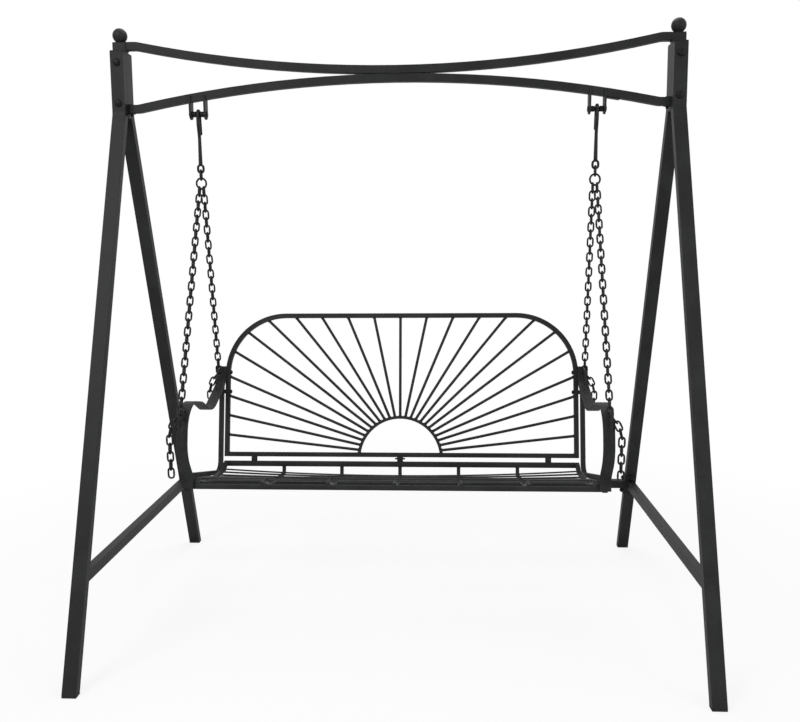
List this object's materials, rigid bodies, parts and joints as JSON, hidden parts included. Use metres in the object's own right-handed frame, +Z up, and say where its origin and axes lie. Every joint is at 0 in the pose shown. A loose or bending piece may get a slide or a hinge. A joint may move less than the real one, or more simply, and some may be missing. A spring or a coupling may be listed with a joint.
{
  "type": "swing seat",
  "caption": "Two-seat metal garden swing: bench with a sunburst back hung on chains and hooks from a bowed double beam between A-shaped square-tube legs.",
  "frame": {"origin": "middle of the footprint on the floor, half way between the feet", "axes": "+Z up, +X along the beam to the right as one faces the seat, -Y towards the front of the seat"},
  "size_m": [1.744, 1.1684, 1.8419],
  "materials": {
    "black_coat": "fine-grained matt black powder coat",
    "hardware": "satin black fasteners and chain",
    "plug": "matt black plastic"
  },
  "bodies": {
    "stand": {"left_post": "black_coat", "right_post": "black_coat", "left_front_leg": "black_coat", "left_rear_leg": "black_coat", "right_front_leg": "black_coat", "right_rear_leg": "black_coat", "leg_caps": "black_coat", "post_caps": "black_coat", "left_finial": "black_coat", "right_finial": "black_coat", "foot_plugs": "plug", "upper_beam": "black_coat", "lower_beam": "black_coat", "beam_collars": "black_coat", "collar_screws": "hardware", "splice_plate": "black_coat", "left_side_brace": "black_coat", "right_side_brace": "black_coat", "rear_stretcher": "black_coat", "brace_bolts": "hardware", "stretcher_bolts": "hardware", "post_bolts": "hardware", "post_nuts": "hardware", "post_washers": "hardware", "left_hanger": "black_coat", "right_hanger": "black_coat", "hanger_pins": "hardware"},
    "hooks": {"left_hook": "hardware", "right_hook": "hardware"},
    "bench": {"swivel_links": "hardware", "fork_links": "hardware", "left_front_chain": "hardware", "left_rear_chain": "hardware", "right_front_chain": "hardware", "right_rear_chain": "hardware", "front_chain_pegs": "black_coat", "rear_chain_pegs": "black_coat", "left_side_frame": "black_coat", "right_side_frame": "black_coat", "left_armrest": "black_coat", "right_armrest": "black_coat", "seat_front_edge": "black_coat", "seat_front_rail": "black_coat", "seat_rear_rail": "black_coat", "seat_ribs": "black_coat", "seat_slats": "black_coat", "back_bow": "black_coat", "back_bottom_rail": "black_coat", "back_spacers": "black_coat", "back_bolts": "hardware", "sun_ring": "black_coat", "sun_rays": "black_coat", "side_spacers": "black_coat", "side_bolts": "hardware", "side_nuts": "hardware"},
    "left_front_tail": {"left_front_tail": "hardware"},
    "left_rear_tail": {"left_rear_tail": "hardware"},
    "right_front_tail": {"right_front_tail": "hardware"},
    "right_rear_tail": {"right_rear_tail": "hardware"}
  },
  "joints": [
    {"name": "hook_swing", "type": "hinge", "parent": "stand", "child": "hooks", "pos_m": [0, 0, 1.586], "axis": [1, 0, 0], "range_deg": [-20, 20]},
    {"name": "bench_swing", "type": "hinge", "parent": "hooks", "child": "bench", "pos_m": [0, 0, 1.412], "axis": [1, 0, 0], "range_deg": [-8, 8]},
    {"name": "left_front_tail_swing", "type": "hinge", "parent": "bench", "child": "left_front_tail", "pos_m": [-0.64826, -0.27994, 0.64614], "axis": [1, 0, 0], "range_deg": [-15, 15]},
    {"name": "left_rear_tail_swing", "type": "hinge", "parent": "bench", "child": "left_rear_tail", "pos_m": [-0.64859, 0.15607, 0.69802], "axis": [1, 0, 0], "range_deg": [-15, 15]},
    {"name": "right_front_tail_swing", "type": "hinge", "parent": "bench", "child": "right_front_tail", "pos_m": [0.64826, -0.27994, 0.64614], "axis": [1, 0, 0], "range_deg": [-15, 15]},
    {"name": "right_rear_tail_swing", "type": "hinge", "parent": "bench", "child": "right_rear_tail", "pos_m": [0.64859, 0.15607, 0.69802], "axis": [1, 0, 0], "range_deg": [-15, 15]}
  ]
}
